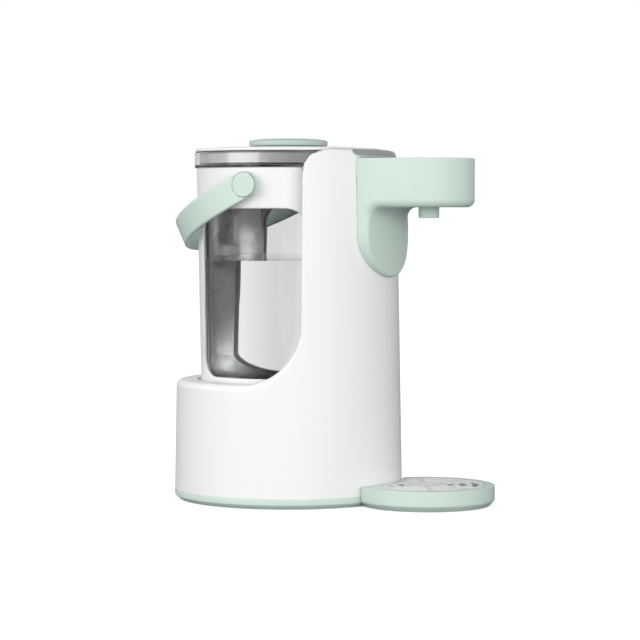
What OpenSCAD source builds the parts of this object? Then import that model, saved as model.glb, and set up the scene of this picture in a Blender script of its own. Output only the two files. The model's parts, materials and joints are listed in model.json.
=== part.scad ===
// Countertop water dispenser for mixing formula: a glass jug in a round
// heated base, a column behind it, and a pump that fills a bottle through the arm.
// Millimetres, +Z up, +X towards the bottle. Built about the body's own axis, then moved by place().

/* [Body] */
// Outer radius of the body at its bottom seam
body_r = 86.8; // [85:0.1:92]
// Loss of radius for each millimetre of height
body_draft = 0.0175; // [0.01:0.0005:0.0185]
// Thickness of the moulded skins
wall = 2.5; // [2:0.1:2.8]
// Height of the tub's rim above the table
rim_z = 91.2; // [88:0.1:98]
// Rounding of the tub's rim
rim_round = 5; // [3:0.1:6]
// Height of the column's top above the table
column_top = 264.2; // [262:0.1:275]
// Distance of the column's side edges from the body's lower edge
edge_inset = 40.4; // [38:0.1:42]
// Radius of the sweep from the column's edge into the rim
sweep_r = 43; // [36:0.5:46]
// Radius of the column's top corners, seen from the side
corner_r = 16; // [10:0.5:20]

/* [Foot ring] */
// How far the rubber feet stand below the ring
foot_out = 1.2; // [1:0.1:2]
// Radius of a rubber foot
foot_r = 7; // [5:0.5:9]
// Distance of the feet from the body's axis
foot_circle = 64; // [55:0.5:66]
// Height of the mint ring
ring_h = 7; // [6:0.1:8]
// Height of the ring's bottom chamfer
ring_chamfer = 2.9; // [2:0.1:3.5]
// Thickness of the bottom plate
plate_t = 3; // [2.5:0.1:3.5]

/* [Well] */
// Distance from the body's lower edge in to the well that the jug stands in
well_inset = 16.8; // [16.2:0.1:18]
// Thickness of the well's wall
well_wall = 2; // [1.5:0.1:2.5]
// How much wider than the well the column's hollow behind the jug is
niche_step = 2.5; // [2.2:0.1:3]
// Height of the well's floor above the table
well_floor = 53; // [51:0.1:56]

/* [Arm] */
// Half width of the arm, which is the radius of its round end too
arm_r = 36; // [33:0.1:36]
// Distance of the centre of the arm's round end from the body's lower edge
spout_out = 28.2; // [26:0.1:34]
// How far the arm's top lies below the column's top
arm_drop = 6.4; // [5.5:0.1:8]
// Height of the arm
arm_h = 36.2; // [34:0.1:40]
// Wall of the arm
arm_wall = 2.4; // [2:0.1:3]
// Rounding of the arm's lower edge
arm_round = 3.5; // [2:0.1:5]
// Distance from the arm's underside down to where the shield starts to narrow
shield_drop = 21.1; // [17:0.1:27]
// Height of the shield's curved lower end
shield_tip = 31; // [25:0.5:34]
// How far the shield's front stands out from the body's lower edge
shield_out = 1.7; // [1.5:0.1:4]
// Radius of the shield's front in plan
shield_curve = 158; // [120:1:200]

/* [Nozzle] */
// Outer radius of the nozzle
nozzle_r = 7.7; // [6.5:0.1:9]
// How far the nozzle lies outside the centre of the arm's round end
nozzle_out = 2.3; // [0:0.1:4]
// How far the nozzle stands below the arm
nozzle_drop = 7.9; // [6:0.1:10]
// Radius of the nozzle's mouth
nozzle_mouth = 4; // [3:0.1:5]

/* [Hose] */
// Outer radius of the silicone hose
hose_r = 2.5; // [2.2:0.05:2.6]
// Radius of the hose's bore
hose_bore = 1.5; // [1:0.1:1.8]
// Radius of the hose's bends
hose_bend = 8; // [7.5:0.1:9]

/* [Drip tray] */
// Outer radius of the drip tray
tray_r = 51.5; // [50:0.1:54]
// Height of the drip tray above the table
tray_h = 15.5; // [14.5:0.1:17]
// Chamfer of the tray's bottom edge
tray_chamfer = 4; // [3:0.1:4.5]
// Radius of the tray's bowl below the grille
bowl_r = 42; // [40:0.1:43]
// Width of the ledge that carries the grille
ledge_w = 2; // [1.5:0.1:2.5]
// Thickness of the grille
grille_t = 2.8; // [2.4:0.1:3.2]
// Width of the grille's slots
slot_w = 4.5; // [3.5:0.1:5]
// Radii of the grille's slots
slot_radii = [18.5, 28, 37.5];
// Gap between the tray and the body
tray_gap = 0.6; // [0.4:0.1:1]
// Distance of the tray's feet in from its edge
tray_foot_in = 19; // [12:0.5:22]

/* [Jug] */
// Gap between the jug's collar and the column's hollow
collar_gap = 2.7; // [2.4:0.1:3.2]
// Gap between the jug's lower end and the well's wall
frame_gap = 3.6; // [3.2:0.1:4.2]
// Wall of the jug's frame
frame_wall = 3; // [2.6:0.1:3.2]
// How far the collar's top lies below the column's top
collar_drop = 13; // [12:0.1:16]
// Height above the table of the frame's lower edge
frame_z = 80; // [78:0.1:82]
// Height above the table of the windows' lower edge
window_z = 94.6; // [93:0.1:98]
// Distance from the collar's top down to the windows' upper edge
window_drop = 30.6; // [27:0.1:36]
// Half angle of the strut at the back, between the windows
back_strut = 47.8; // [40:0.1:50]
// Half angle of the strut at the front, between the windows
front_strut = 50; // [40:0.1:54]
// Corner radius of the windows
window_round = 15; // [10:0.5:18]
// Thickness of the steel sleeve inside the frame
sleeve_t = 0.6; // [0.5:0.05:0.8]
// Thickness of the glass
glass_t = 2.6; // [2.2:0.1:3]
// How far the glass rim stands out over the collar
rim_out = 1.4; // [1:0.1:1.7]
// Height of the glass rim above the collar
rim_h = 12; // [11.6:0.1:14]

/* [Lid] */
// How far the lid's cover stays inside the glass rim's outer edge
lid_inset = 0.4; // [0.3:0.1:1.2]
// Thickness of the lid's cover
lid_t = 3.8; // [3:0.1:4.5]
// Gap between the glass rim and the steel cup under the cover
cup_gap = 1; // [0.7:0.1:1.6]
// Radius of the lid's knob
knob_r = 30; // [26:0.5:34]
// Thickness of the knob
knob_t = 6.4; // [5:0.1:8]

/* [Handle] */
// Distance from the collar's top down to the handle's pivots
pivot_drop = 13; // [11.5:0.1:15]
// Distance of the handle's pivots in front of the jug's axis
pivot_x = 2.5; // [0:0.1:4]
// Gap between the glass rim and the handle
handle_gap = 1; // [0.6:0.1:1.6]
// Thickness of the handle's strap
handle_t = 4.5; // [4:0.1:6]
// Width of the handle's strap
handle_w = 20; // [18:0.1:22]
// Straight length of the handle from its pivots to its curve
handle_straight = 17.5; // [16:0.5:24]
// Angle of the resting handle below the level
handle_tilt = 26; // [20:0.5:40]
// Radius of the round caps over the pivots
cap_r = 9.1; // [7:0.1:9.4]
// Radius of the pivot pins
pin_r = 4; // [3:0.1:5]

/* [Heating] */
// Height above the table of the heating plate's underside
plate_z = 86; // [85:0.1:87]
// Thickness of the heating plate
heat_t = 2.2; // [1.5:0.1:3]
// Radius of the ring of the heating element
element_r = 30; // [28:0.5:31]
// Radius of the element's tube
element_tube = 3.9; // [3:0.1:4]
// Place of the temperature probe behind the axis
probe_x = -40; // [-42:0.5:-39]

/* [Valve] */
// Place of the jug's valve in front of the axis
valve_x = 40; // [39:0.5:41]
// Place of the jug's valve to the side of the axis
valve_y = 26; // [26:0.5:27]
// Outer radius of the valve's body
valve_r = 7; // [6.5:0.1:7.4]
// Travel of the valve's plunger
valve_travel = 3; // [2:0.1:3]

/* [Pump] */
// Radius of the pump's motor
motor_r = 14; // [12:0.1:15]
// Length of the pump's motor
motor_l = 34; // [30:0.5:36]
// Radius of the pump's head
head_r = 16; // [15:0.1:17]
// Length of the pump's head
head_l = 16; // [14:0.5:18]
// Height above the table of the pump's shaft
pump_z = 26; // [25:0.1:28]

/* [Fits] */
// Gap between parts that are fixed to each other
fit_gap = 0.2; // [0.15:0.05:0.25]
// Gap between a part and the seat that it is lifted from
seat_gap = 0.3; // [0.25:0.05:0.4]
// Gap round a shaft or pin that turns or slides
run_gap = 0.05; // [0.03:0.01:0.08]
// Radius of a screw's shank
screw_r = 1.5; // [1.3:0.05:1.6]
// Radius of a screw's head
head_screw_r = 2.9; // [2.7:0.1:3.1]

/* [Hidden] */
$fn = 96;

white = [0.94, 0.94, 0.94];
mint = [0.78, 0.88, 0.83];
steel = [0.72, 0.73, 0.74];
dark = [0.16, 0.17, 0.18];
grey = [0.55, 0.57, 0.57];
clear = [0.80, 0.88, 0.90, 0.4];
copper = [0.80, 0.58, 0.32];
board_green = [0.12, 0.38, 0.24];

big = 400;
eps = 0.01;
ring_top = foot_out + ring_h;
ring_out = 0.1;
function body_at(z) = body_r - body_draft * (z - ring_top);
tray_cut = body_r + tray_gap;
spout_x = body_r + spout_out;
nozzle_x = spout_x + nozzle_out;
edge_x = body_r - edge_inset;
shield_x = body_r + shield_out;
well_r = body_r - well_inset;
niche_r = well_r + niche_step;
collar_r = niche_r - collar_gap;
frame_low_r = well_r - frame_gap;
glass_rim_r = collar_r + rim_out;
handle_in = glass_rim_r + handle_gap;
collar_z = column_top - collar_drop;
pivot_z = collar_z - pivot_drop;

// The handle's reach from its pivots, and how far the resting handle and the arm's tray stand out
handle_out = handle_in + handle_t;
handle_reach = handle_straight + handle_out;
rear_x = max(body_r + ring_out, handle_reach * cos(handle_tilt) + handle_w / 2 * sin(handle_tilt) - pivot_x);
front_x = max(spout_x + tray_r, spout_x + arm_r);
body_x = (rear_x - front_x) / 2;

arm_top = column_top - arm_drop;
arm_z = arm_top - arm_h;
arm_from = 50;
shield_z = arm_z - shield_drop;
cover_t = 2;
panel_t = 1.2;
roll_turn = 24;
roll_lift = 0.1;
cap_in = niche_r + fit_gap;
cap_t = 2.4;
cap_proud = 0.4;

liner_lip = niche_r + well_wall;
lip_h = 4;
floor_t = 3;
jug_z = well_floor + seat_gap;

boss_r = 4.5;
boss_circle = 77;
boss_top = 26;
screw_gap = 0.25;
pilot_r = screw_r - 0.2;
shank_r = screw_r - 0.25;
small_pilot_r = screw_r - 0.3;
small_shank_r = screw_r - 0.35;
small_head_r = head_screw_r - 0.4;
screw_l = 14;
screw_head_t = 1.8;
post_circle = 61;
post_turn = 40;
post_r = 4;
arm_screw_y = 24;
arm_screw_z = arm_z - 10;
arm_screw_x = sqrt(pow(body_at(arm_screw_z) - wall, 2) - pow(arm_screw_y + head_screw_r, 2)) - 0.1;
arm_screw_l = 8;
jug_boss_circle = 58;

hose_y = 0;
riser_x = liner_lip + fit_gap + hose_r;
hose_low_z = pump_z - 10;
hose_arm_z = arm_z + 15;
pump_x = valve_x;
pump_y = hose_y;

coupler_r = 15;
coupler_top = well_floor + 9;
coupler_flange = 24;
ring_t = 0.6;

board_x = -48;
board_l = 44;
board_w = 66;
board_z = 13;
board_t = 1.6;
ribbon_t = 0.8;
ribbon_y = 11;
ribbon_w = 8;
outlet_from = 8;
outlet_l = 26;
outlet_grip = 4.2;
terminal_l = 10;
tray_foot_r = 4;
tray_foot_turn = 55;
touch_from = body_r + 3.2;
touch_out = 14;
touch_w = 44;
key_r = 4;
key_back = 8;
key_step = 13;
can_x = 32;
can_y = -14;
can_r = 5;
can_h = 18;
seal_r = 0.7;
seal_drop = 4.2;

inlet_w = 27;
inlet_h = 19;
inlet_z = 29;
inlet_deep = 20;

frame_slope = (collar_r - frame_low_r) / (collar_z - frame_z);
function frame_at(z) = frame_low_r + frame_slope * (z - frame_z);
function frame_in(z) = frame_at(z) - frame_wall;
function sleeve_in(z) = frame_in(z) - fit_gap - sleeve_t;
function glass_at(z) = sleeve_in(z) - 2 * fit_gap;
window_r = 68;
window_y = 36;
window_top = collar_z - window_drop;
glass_top = collar_z + rim_h;
shoulder_t = 1.4;
rim_t = 2.6;
cup_z = collar_z + shoulder_t + 1.9;
cup_r = glass_rim_r - rim_t - cup_gap;
lid_r = glass_rim_r - lid_inset;
lid_z = glass_top + seat_gap;
cup_t = 0.8;
vessel_z = plate_z + heat_t + 1.4;

spigot_r = 3.2;
spigot_top = 66;
valve_bore = 4.2;
valve_low = 58;
valve_seat = 73.7;
plunger_z = valve_seat + seat_gap + valve_travel;
probe_r = 2.5;
probe_head_r = 4;
probe_boss = 56;
element_z = plate_z - fit_gap - element_tube;

module place() {
    translate([body_x, 0, 0]) children();
}

module disc(r, z0, z1) {
    translate([0, 0, z0]) cylinder(r = r, h = z1 - z0);
}

module tube(r_out, r_in, z0, z1) {
    difference() {
        disc(r_out, z0, z1);
        disc(r_in, z0 - 1, z1 + 1);
    }
}

module cone_tube(low_out, top_out, t, z0, z1) {
    rotate_extrude()
        polygon([[low_out - t, z0], [low_out, z0], [top_out, z1], [top_out - t, z1]]);
}

module box(x0, x1, y0, y1, z0, z1) {
    translate([x0, y0, z0]) cube([x1 - x0, y1 - y0, z1 - z0]);
}

// A cylinder along X from x0 to x1 at the given y and z
module rod_x(r, x0, x1, y, z) {
    translate([x0, y, z]) rotate([0, 90, 0]) cylinder(r = r, h = x1 - x0);
}

// A cylinder along Y from y0 to y1 at the given x and z
module rod_y(r, y0, y1, x, z) {
    translate([x, y1, z]) rotate([90, 0, 0]) cylinder(r = r, h = y1 - y0);
}

// A cap screw that points up, with the top of its head at z
module screw_up(x, y, z, length) {
    translate([x, y, z - screw_head_t]) cylinder(r = head_screw_r, h = screw_head_t);
    translate([x, y, z]) cylinder(r = shank_r, h = length);
}

module ring_of(count, circle, start) {
    for (i = [0 : count - 1])
        rotate(start + i * 360 / count) translate([circle, 0, 0]) children();
}

// The body's solid of revolution, inset by d
module body_cone(d) {
    rotate_extrude()
        polygon([[0, 0], [body_at(0) - d, 0], [body_at(column_top + 5) - d, column_top + 5], [0, column_top + 5]]);
}

// Points of an arc about (x, y), from one angle to another
function arc(x, y, r, from, to, steps) =
    [for (i = [0 : steps]) let (a = from + (to - from) * i / steps) [x + r * cos(a), y + r * sin(a)]];

// The column and its sweep into the rim, seen from the side and inset by d
module side_mask(d) {
    rotate([90, 0, 0]) linear_extrude(2 * big, center = true) polygon(concat(
        [[edge_x - sweep_r, 0], [big, 0], [big, column_top + 1], [edge_x + corner_r, column_top + 1]],
        arc(edge_x + corner_r, column_top - corner_r, corner_r - d, 90, 180, 12),
        arc(edge_x - sweep_r, rim_z + sweep_r, sweep_r + d, 0, -90, 24)
    ));
}

// What the rounding above the arm takes from the column's top front edge
module roll_cut() {
    r = arm_drop;
    x = body_at(column_top) - r;
    rotate(-roll_turn) rotate_extrude(angle = 2 * roll_turn) difference() {
        translate([x, column_top - r]) square(r + 2);
        translate([x, column_top - r + roll_lift]) circle(r = r);
    }
}

// The tub's skin and deck, with the rounded rim
module tub_shell() {
    top = rim_z - rim_round;
    hole = liner_lip + fit_gap;
    rotate_extrude() polygon(concat(
        [[body_at(ring_top) - wall, ring_top], [body_at(ring_top), ring_top]],
        arc(body_at(top) - rim_round, top, rim_round, 0, 90, 8),
        [[hole, rim_z], [hole, rim_z - wall], [body_at(top) - rim_round, rim_z - wall]],
        [[body_at(top) - wall, top - 1]]
    ));
}

// A ring of the column between the liner and the body's surface, inset by d, from z0 up
module column_ring(r_in, d, z0, z1) {
    rotate_extrude() polygon([[r_in, z0], [body_at(z0) - d, z0], [body_at(z1) - d, z1], [r_in, z1]]);
}

module main_housing() {
    low = rim_z - rim_round - 2;
    color(white) place() difference() {
        union() {
            tub_shell();
            intersection() {
                column_ring(liner_lip + fit_gap, 0, low, column_top);
                side_mask(0);
            }
            ring_of(4, boss_circle, 45) {
                disc(boss_r, ring_top, boss_top);
                box(0, body_r - boss_circle - 1, -1.2, 1.2, ring_top + 4, boss_top);
            }
        }
        intersection() {
            column_ring(liner_lip - 2, wall + fit_gap, low - 1, column_top + 1);
            side_mask(wall);
        }
        ring_of(4, boss_circle, 45) disc(pilot_r, ring_top - 1, boss_top - 3);
        roll_cut();
        box(arm_from, body_r + 10, -arm_r + 8, arm_r - 8, arm_z + 6, arm_top - 6);
        for (side = [-1, 1]) rod_x(screw_r + screw_gap, arm_from, body_r + 10, side * arm_screw_y, arm_screw_z);
        box(-body_r - 10, -arm_from, -inlet_w / 2 - fit_gap, inlet_w / 2 + fit_gap,
            inlet_z - inlet_h / 2 - fit_gap, inlet_z + inlet_h / 2 + fit_gap);
    }
}

module well_liner() {
    color(white) place() difference() {
        union() {
            tube(well_r + well_wall, well_r, well_floor - floor_t, rim_z);
            tube(liner_lip, well_r, rim_z - lip_h, rim_z);
            disc(well_r + well_wall, well_floor - floor_t, well_floor);
            intersection() {
                tube(liner_lip, niche_r, rim_z - 1, column_top - cap_t - fit_gap);
                side_mask(0);
            }
            translate([probe_x, 0, 0]) disc(probe_r + 3, well_floor - floor_t - 4, probe_boss);
            ring_of(3, post_circle, post_turn)
                disc(post_r, foot_out + plate_t + 4 + fit_gap, well_floor - eps);
        }
        ring_of(3, post_circle, post_turn) disc(pilot_r, 0, foot_out + plate_t + 16);
        translate([probe_x, 0, 0]) disc(probe_r + run_gap, 0, rim_z);
        disc(coupler_r + fit_gap, 0, rim_z);
        translate([valve_x, valve_y, 0]) disc(spigot_r + fit_gap, 0, rim_z);
    }
}

module column_cap() {
    top_r = body_at(column_top) - wall - fit_gap;
    color(grey) place() difference() {
        intersection() {
            disc(top_r, column_top - cap_t, column_top + cap_proud);
            side_mask(wall + fit_gap);
        }
        disc(cap_in, 0, big);
        roll_cut();
    }
}

module base_plate() {
    plate_r = body_at(ring_top) + ring_out;
    lip_r = body_at(ring_top) - wall - fit_gap;
    color(mint) place() difference() {
        union() {
            difference() {
                rotate_extrude() polygon([
                    [0, foot_out], [plate_r - ring_chamfer, foot_out],
                    [plate_r, foot_out + ring_chamfer], [plate_r, ring_top - eps], [0, ring_top - eps]
                ]);
                disc(lip_r - 2, foot_out + plate_t, ring_top + 1);
            }
            tube(lip_r, lip_r - 2, ring_top - 1, ring_top + 4);
            ring_of(4, boss_circle, 45) disc(boss_r, foot_out + 1, ring_top - fit_gap);
            ring_of(3, post_circle, post_turn) disc(boss_r, foot_out + 1, foot_out + plate_t + 4);
            for (x = [4, board_l - 4], y = [-1, 1])
                translate([board_x + x, y * (board_w / 2 - 4), 0]) disc(3, foot_out + 1, board_z);
        }
        ring_of(4, boss_circle, 45) {
            disc(boss_r + fit_gap, ring_top - fit_gap, ring_top + 10);
            disc(screw_r + screw_gap, 0, ring_top + 1);
            disc(head_screw_r + screw_gap, 0, foot_out + plate_t);
        }
        ring_of(3, post_circle, post_turn) {
            disc(screw_r + screw_gap, 0, ring_top + 1);
            disc(head_screw_r + screw_gap, 0, foot_out + plate_t);
        }
        ring_of(4, foot_circle, 0) disc(foot_r + fit_gap, 0, foot_out + 1);
        for (x = [4, board_l - 4], y = [-1, 1])
            translate([board_x + x, y * (board_w / 2 - 4), 0]) disc(small_pilot_r, foot_out + plate_t, board_z + 1);
        for (y = [-1, 1]) translate([pump_x, pump_y - head_l / 2 - motor_l / 2 + y * 11, 0])
            disc(small_pilot_r, foot_out + 1.2, ring_top + 1);
    }
}

module rubber_feet() {
    color(dark) place() ring_of(4, foot_circle, 0) disc(foot_r, 0, foot_out + 1);
}

module base_screws() {
    color(steel) place() ring_of(4, boss_circle, 45)
        screw_up(0, 0, foot_out + plate_t, screw_l);
}

module liner_screws() {
    color(steel) place() ring_of(3, post_circle, post_turn)
        screw_up(0, 0, foot_out + plate_t, screw_l - 2);
}

// The arm's outer form, inset by d at its sides and lower edge
module arm_form(d, z0, z1) {
    half = arm_r - d;
    low = max(z0, arm_z + d);
    r = max(arm_round - d, 0.5);
    translate([spout_x, 0, 0]) rotate_extrude() union() {
        translate([0, low]) square([half - r, z1 - low]);
        translate([0, low + r]) square([half, z1 - low - r]);
        translate([half - r, low + r]) circle(r = r);
    }
    rotate([90, 0, 90]) translate([0, 0, arm_from]) linear_extrude(spout_x - arm_from) union() {
        translate([r - half, low]) square([2 * (half - r), z1 - low]);
        translate([-half, low + r]) square([2 * half, z1 - low - r]);
        for (side = [-1, 1]) translate([side * (half - r), low + r]) circle(r = r);
    }
}

// The arm's plan as a plate between two heights
module arm_plate(d, z0, z1) {
    translate([spout_x, 0, 0]) disc(arm_r - d, z0, z1);
    box(arm_from, spout_x, d - arm_r, arm_r - d, z0, z1);
}

module shield_form() {
    steps = 40;
    tip = [for (i = [0 : steps]) [arm_r * cos(180 * i / steps), shield_z - shield_tip * sin(180 * i / steps)]];
    intersection() {
        rotate([90, 0, 90]) translate([0, 0, arm_from]) linear_extrude(spout_x - arm_from)
            polygon(concat([[-arm_r, arm_z + 8], [arm_r, arm_z + 8]], tip));
        translate([shield_x - shield_curve, 0, 0]) disc(shield_curve, rim_z, arm_z + arm_round + 2);
    }
}

module arm_housing() {
    color(mint) place() difference() {
        union() {
            difference() {
                arm_form(0, arm_z, arm_top);
                arm_form(arm_wall, arm_z + arm_wall, arm_top + 1);
            }
            difference() {
                arm_plate(arm_wall - eps, arm_top - cover_t - fit_gap - 4, arm_top - cover_t - fit_gap);
                arm_plate(arm_wall + 1.5, arm_z, arm_top);
            }
            shield_form();
        }
        body_cone(-fit_gap);
        translate([nozzle_x, 0, 0]) disc(nozzle_r + fit_gap, 0, arm_z + arm_wall + 1);
        for (side = [-1, 1])
            rod_x(pilot_r, arm_from, arm_screw_x + arm_screw_l + 0.4, side * arm_screw_y, arm_screw_z);
    }
}

module arm_cover() {
    color(mint) place() difference() {
        arm_plate(arm_wall + fit_gap, arm_top - cover_t, arm_top);
        arm_plate(arm_wall + 3, arm_top - panel_t - eps, arm_top + 1);
        body_cone(-2 * fit_gap);
        box(arm_from, spout_x - 20, -6, 6, arm_top - 5, arm_top + 1);
    }
}

module touch_panel() {
    color(grey) place() difference() {
        arm_plate(arm_wall + 3 + fit_gap, arm_top - panel_t, arm_top);
        body_cone(-2 * fit_gap);
    }
}

module touch_board() {
    top = arm_top - cover_t - fit_gap;
    color(board_green) place() union() {
        box(touch_from, spout_x + touch_out, -touch_w / 2, touch_w / 2, top - board_t, top);
        for (i = [-1, 0, 1])
            translate([spout_x - key_back, i * key_step, 0]) disc(key_r, top - board_t - 1.4, top - board_t);
    }
}

module arm_screws() {
    x = arm_screw_x;
    color(steel) place() for (side = [-1, 1]) {
        rod_x(head_screw_r, x - screw_head_t, x, side * arm_screw_y, arm_screw_z);
        rod_x(shank_r, x, x + arm_screw_l, side * arm_screw_y, arm_screw_z);
    }
}

module nozzle() {
    color(mint) place() translate([nozzle_x, 0, 0]) difference() {
        union() {
            disc(nozzle_r, arm_z - nozzle_drop, arm_z + arm_wall + fit_gap + eps);
            disc(nozzle_r + 3, arm_z + arm_wall + fit_gap, arm_z + arm_wall + 2);
            disc(hose_r + 2, arm_z + arm_wall + 1, arm_z + 9);
        }
        disc(nozzle_mouth, 0, arm_z - 1);
        disc(hose_bore, 0, big);
        disc(hose_r + run_gap, arm_z + 4, big);
    }
}

module hose_section() {
    difference() {
        circle(r = hose_r);
        circle(r = hose_bore);
    }
}

// Straight hose along X, and along Z, at the given place
module hose_x(x0, x1, y, z) {
    translate([x0, y, z]) rotate([0, 90, 0]) linear_extrude(x1 - x0) hose_section();
}

module hose_z(x, y, z0, z1) {
    translate([x, y, z0]) linear_extrude(z1 - z0) hose_section();
}

// Quarter bend of the hose in the XZ plane about (x, z), starting at the angle turn
module hose_quarter(x, y, z, turn) {
    translate([x, y, z]) rotate([90, -turn, 0]) rotate_extrude(angle = 90)
        translate([hose_bend, 0]) hose_section();
}

module delivery_hose() {
    from_x = pump_x + outlet_l - outlet_grip + fit_gap;
    color(clear) place() union() {
        hose_x(from_x, riser_x - hose_bend, hose_y, hose_low_z);
        hose_quarter(riser_x - hose_bend, hose_y, hose_low_z + hose_bend, -90);
        hose_z(riser_x, hose_y, hose_low_z + hose_bend, hose_arm_z - hose_bend);
        hose_quarter(riser_x + hose_bend, hose_y, hose_arm_z - hose_bend, 90);
        hose_x(riser_x + hose_bend, nozzle_x - hose_bend, hose_y, hose_arm_z);
        hose_quarter(nozzle_x - hose_bend, hose_y, hose_arm_z - hose_bend, 0);
        hose_z(nozzle_x, hose_y, arm_z + 4 + fit_gap, hose_arm_z - hose_bend);
    }
}

module inlet_hose() {
    y0 = pump_y + head_l / 2 + 4;
    color(clear) place() union() {
        translate([valve_x, y0, pump_z]) rotate([-90, 0, 0])
            linear_extrude(valve_y - hose_bend - y0) hose_section();
        translate([valve_x, valve_y - hose_bend, pump_z + hose_bend]) rotate([90, 0, 90])
            rotate([0, 0, -90]) rotate_extrude(angle = 90) translate([hose_bend, 0]) hose_section();
        hose_z(valve_x, valve_y, pump_z + hose_bend, well_floor - floor_t - 5);
    }
}

module ribbon_cable() {
    t = ribbon_t;
    low = foot_out + plate_t + 2;
    x = riser_x - ribbon_t;
    x1 = touch_from + 2;
    y0 = ribbon_y;
    y1 = ribbon_y + ribbon_w;
    top = arm_z + 24;
    color(grey) place() union() {
        box(board_x + board_l - 3, x + t, y0, y1, low, low + t);
        box(x, x + t, y0, y1, low, top);
        box(x, x1, y0, y1, top - t, top);
        box(x1 - t, x1, y0, y1, top - t, arm_top - cover_t - 2 * fit_gap - board_t);
        box(board_x + board_l - 3, board_x + board_l - 3 + t, y0, y1, low, board_z - fit_gap);
    }
}

module water_port() {
    color(white) place() translate([valve_x, valve_y, 0]) difference() {
        union() {
            disc(spigot_r, well_floor - floor_t - fit_gap - eps, spigot_top);
            disc(8, well_floor - floor_t - 2 - fit_gap, well_floor - floor_t - fit_gap);
            disc(hose_r + 2, well_floor - floor_t - 8, well_floor - floor_t - 2);
        }
        disc(hose_bore, 0, spigot_top - 2);
        disc(hose_r + run_gap, 0, well_floor - floor_t - 4.6);
        rod_x(1, -10, 10, 0, spigot_top - 3);
        tube(spigot_r + 1, spigot_r - 0.8, spigot_top - seal_drop - 0.8, spigot_top - seal_drop + 0.8);
    }
}

module port_seal() {
    color(dark) place() translate([valve_x, valve_y, 0]) rotate_extrude()
        translate([spigot_r - 0.05, spigot_top - seal_drop]) circle(r = seal_r);
}

module pump_body() {
    y0 = pump_y - head_l / 2;
    y1 = pump_y + head_l / 2;
    color(dark) place() difference() {
        union() {
            rod_y(head_r, y0, y1, pump_x, pump_z);
            rod_y(hose_r + 2, y1 - 1, y1 + 9, pump_x, pump_z);
            rod_x(hose_r + 2, pump_x + outlet_from, pump_x + outlet_l, hose_y, hose_low_z);
        }
        rod_y(12, y0 + 4, y1 - 3, pump_x, pump_z);
        rod_y(1.5 + run_gap, y0 - 1, y0 + 5, pump_x, pump_z);
        rod_y(hose_bore, y1 - 4, y1 + 20, pump_x, pump_z);
        rod_y(hose_r + run_gap, y1 + 3.8, y1 + 20, pump_x, pump_z);
        rod_x(hose_bore, pump_x + 5, pump_x + 40, hose_y, hose_low_z);
        rod_x(hose_r + run_gap, pump_x + outlet_l - outlet_grip, pump_x + 40, hose_y, hose_low_z);
    }
}

module pump_rotor() {
    y0 = pump_y - head_l / 2;
    color(steel) place() union() {
        rod_y(1.5, y0 - motor_l + 4, y0 + 6, pump_x, pump_z);
        rod_y(motor_r - 4, y0 - motor_l + 8, y0 - 8, pump_x, pump_z);
        for (i = [0 : 5]) translate([pump_x, y0 + 11.5, pump_z]) rotate([90, i * 60, 0])
            translate([-0.8, 0, 0]) cube([1.6, 11, 6]);
        rod_y(4, y0 + 5, y0 + 12, pump_x, pump_z);
    }
}

module motor_can() {
    y0 = pump_y - head_l / 2 - fit_gap;
    color(steel) place() difference() {
        rod_y(motor_r, y0 - motor_l, y0, pump_x, pump_z);
        rod_y(motor_r - 1.5, y0 - motor_l + 5, y0 - 4, pump_x, pump_z);
        rod_y(1.5 + run_gap, y0 - motor_l + 2, y0 + 1, pump_x, pump_z);
    }
}

module pump_bracket() {
    y0 = pump_y - head_l / 2 - motor_l / 2;
    low = foot_out + plate_t + fit_gap;
    color(grey) place() difference() {
        union() {
            box(pump_x - motor_r - 3, pump_x + motor_r + 3, y0 - 15, y0 + 12, low, low + 2);
            for (y = [-5, 7]) box(pump_x - motor_r - 2, pump_x + motor_r + 2, y0 + y - 2, y0 + y, low, pump_z);
        }
        rod_y(motor_r + fit_gap, y0 - 30, y0 + 30, pump_x, pump_z);
        for (y = [-1, 1]) translate([pump_x, y0 + y * 11, 0]) disc(screw_r + screw_gap, 0, 40);
    }
}

module pump_screws() {
    low = foot_out + plate_t + fit_gap + 2;
    y0 = pump_y - head_l / 2 - motor_l / 2;
    color(steel) place() for (y = [-1, 1]) translate([pump_x, y0 + y * 11, 0]) {
        disc(small_head_r, low, low + 1);
        disc(small_shank_r, foot_out + 1.4, low);
    }
}

module main_board() {
    color(board_green) place() difference() {
        union() {
            box(board_x, board_x + board_l, -board_w / 2, board_w / 2, board_z, board_z + board_t);
            box(board_x + 6, board_x + 24, -18, 2, board_z + board_t - eps, board_z + 16);
            box(board_x + 8, board_x + 20, 8, 22, board_z + board_t - eps, board_z + 12);
            for (y = [can_y, can_y + 14])
                translate([board_x + can_x, y, 0]) disc(can_r, board_z + board_t - eps, board_z + can_h);
        }
        for (x = [4, board_l - 4], y = [-1, 1])
            translate([board_x + x, y * (board_w / 2 - 4), 0]) disc(screw_r + screw_gap, 0, 40);
    }
}

module board_screws() {
    color(steel) place() for (x = [4, board_l - 4], y = [-1, 1])
        translate([board_x + x, y * (board_w / 2 - 4), 0]) {
            disc(small_head_r, board_z + board_t, board_z + board_t + 1.4);
            disc(small_shank_r, foot_out + plate_t + 0.5, board_z + board_t);
        }
}

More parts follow.
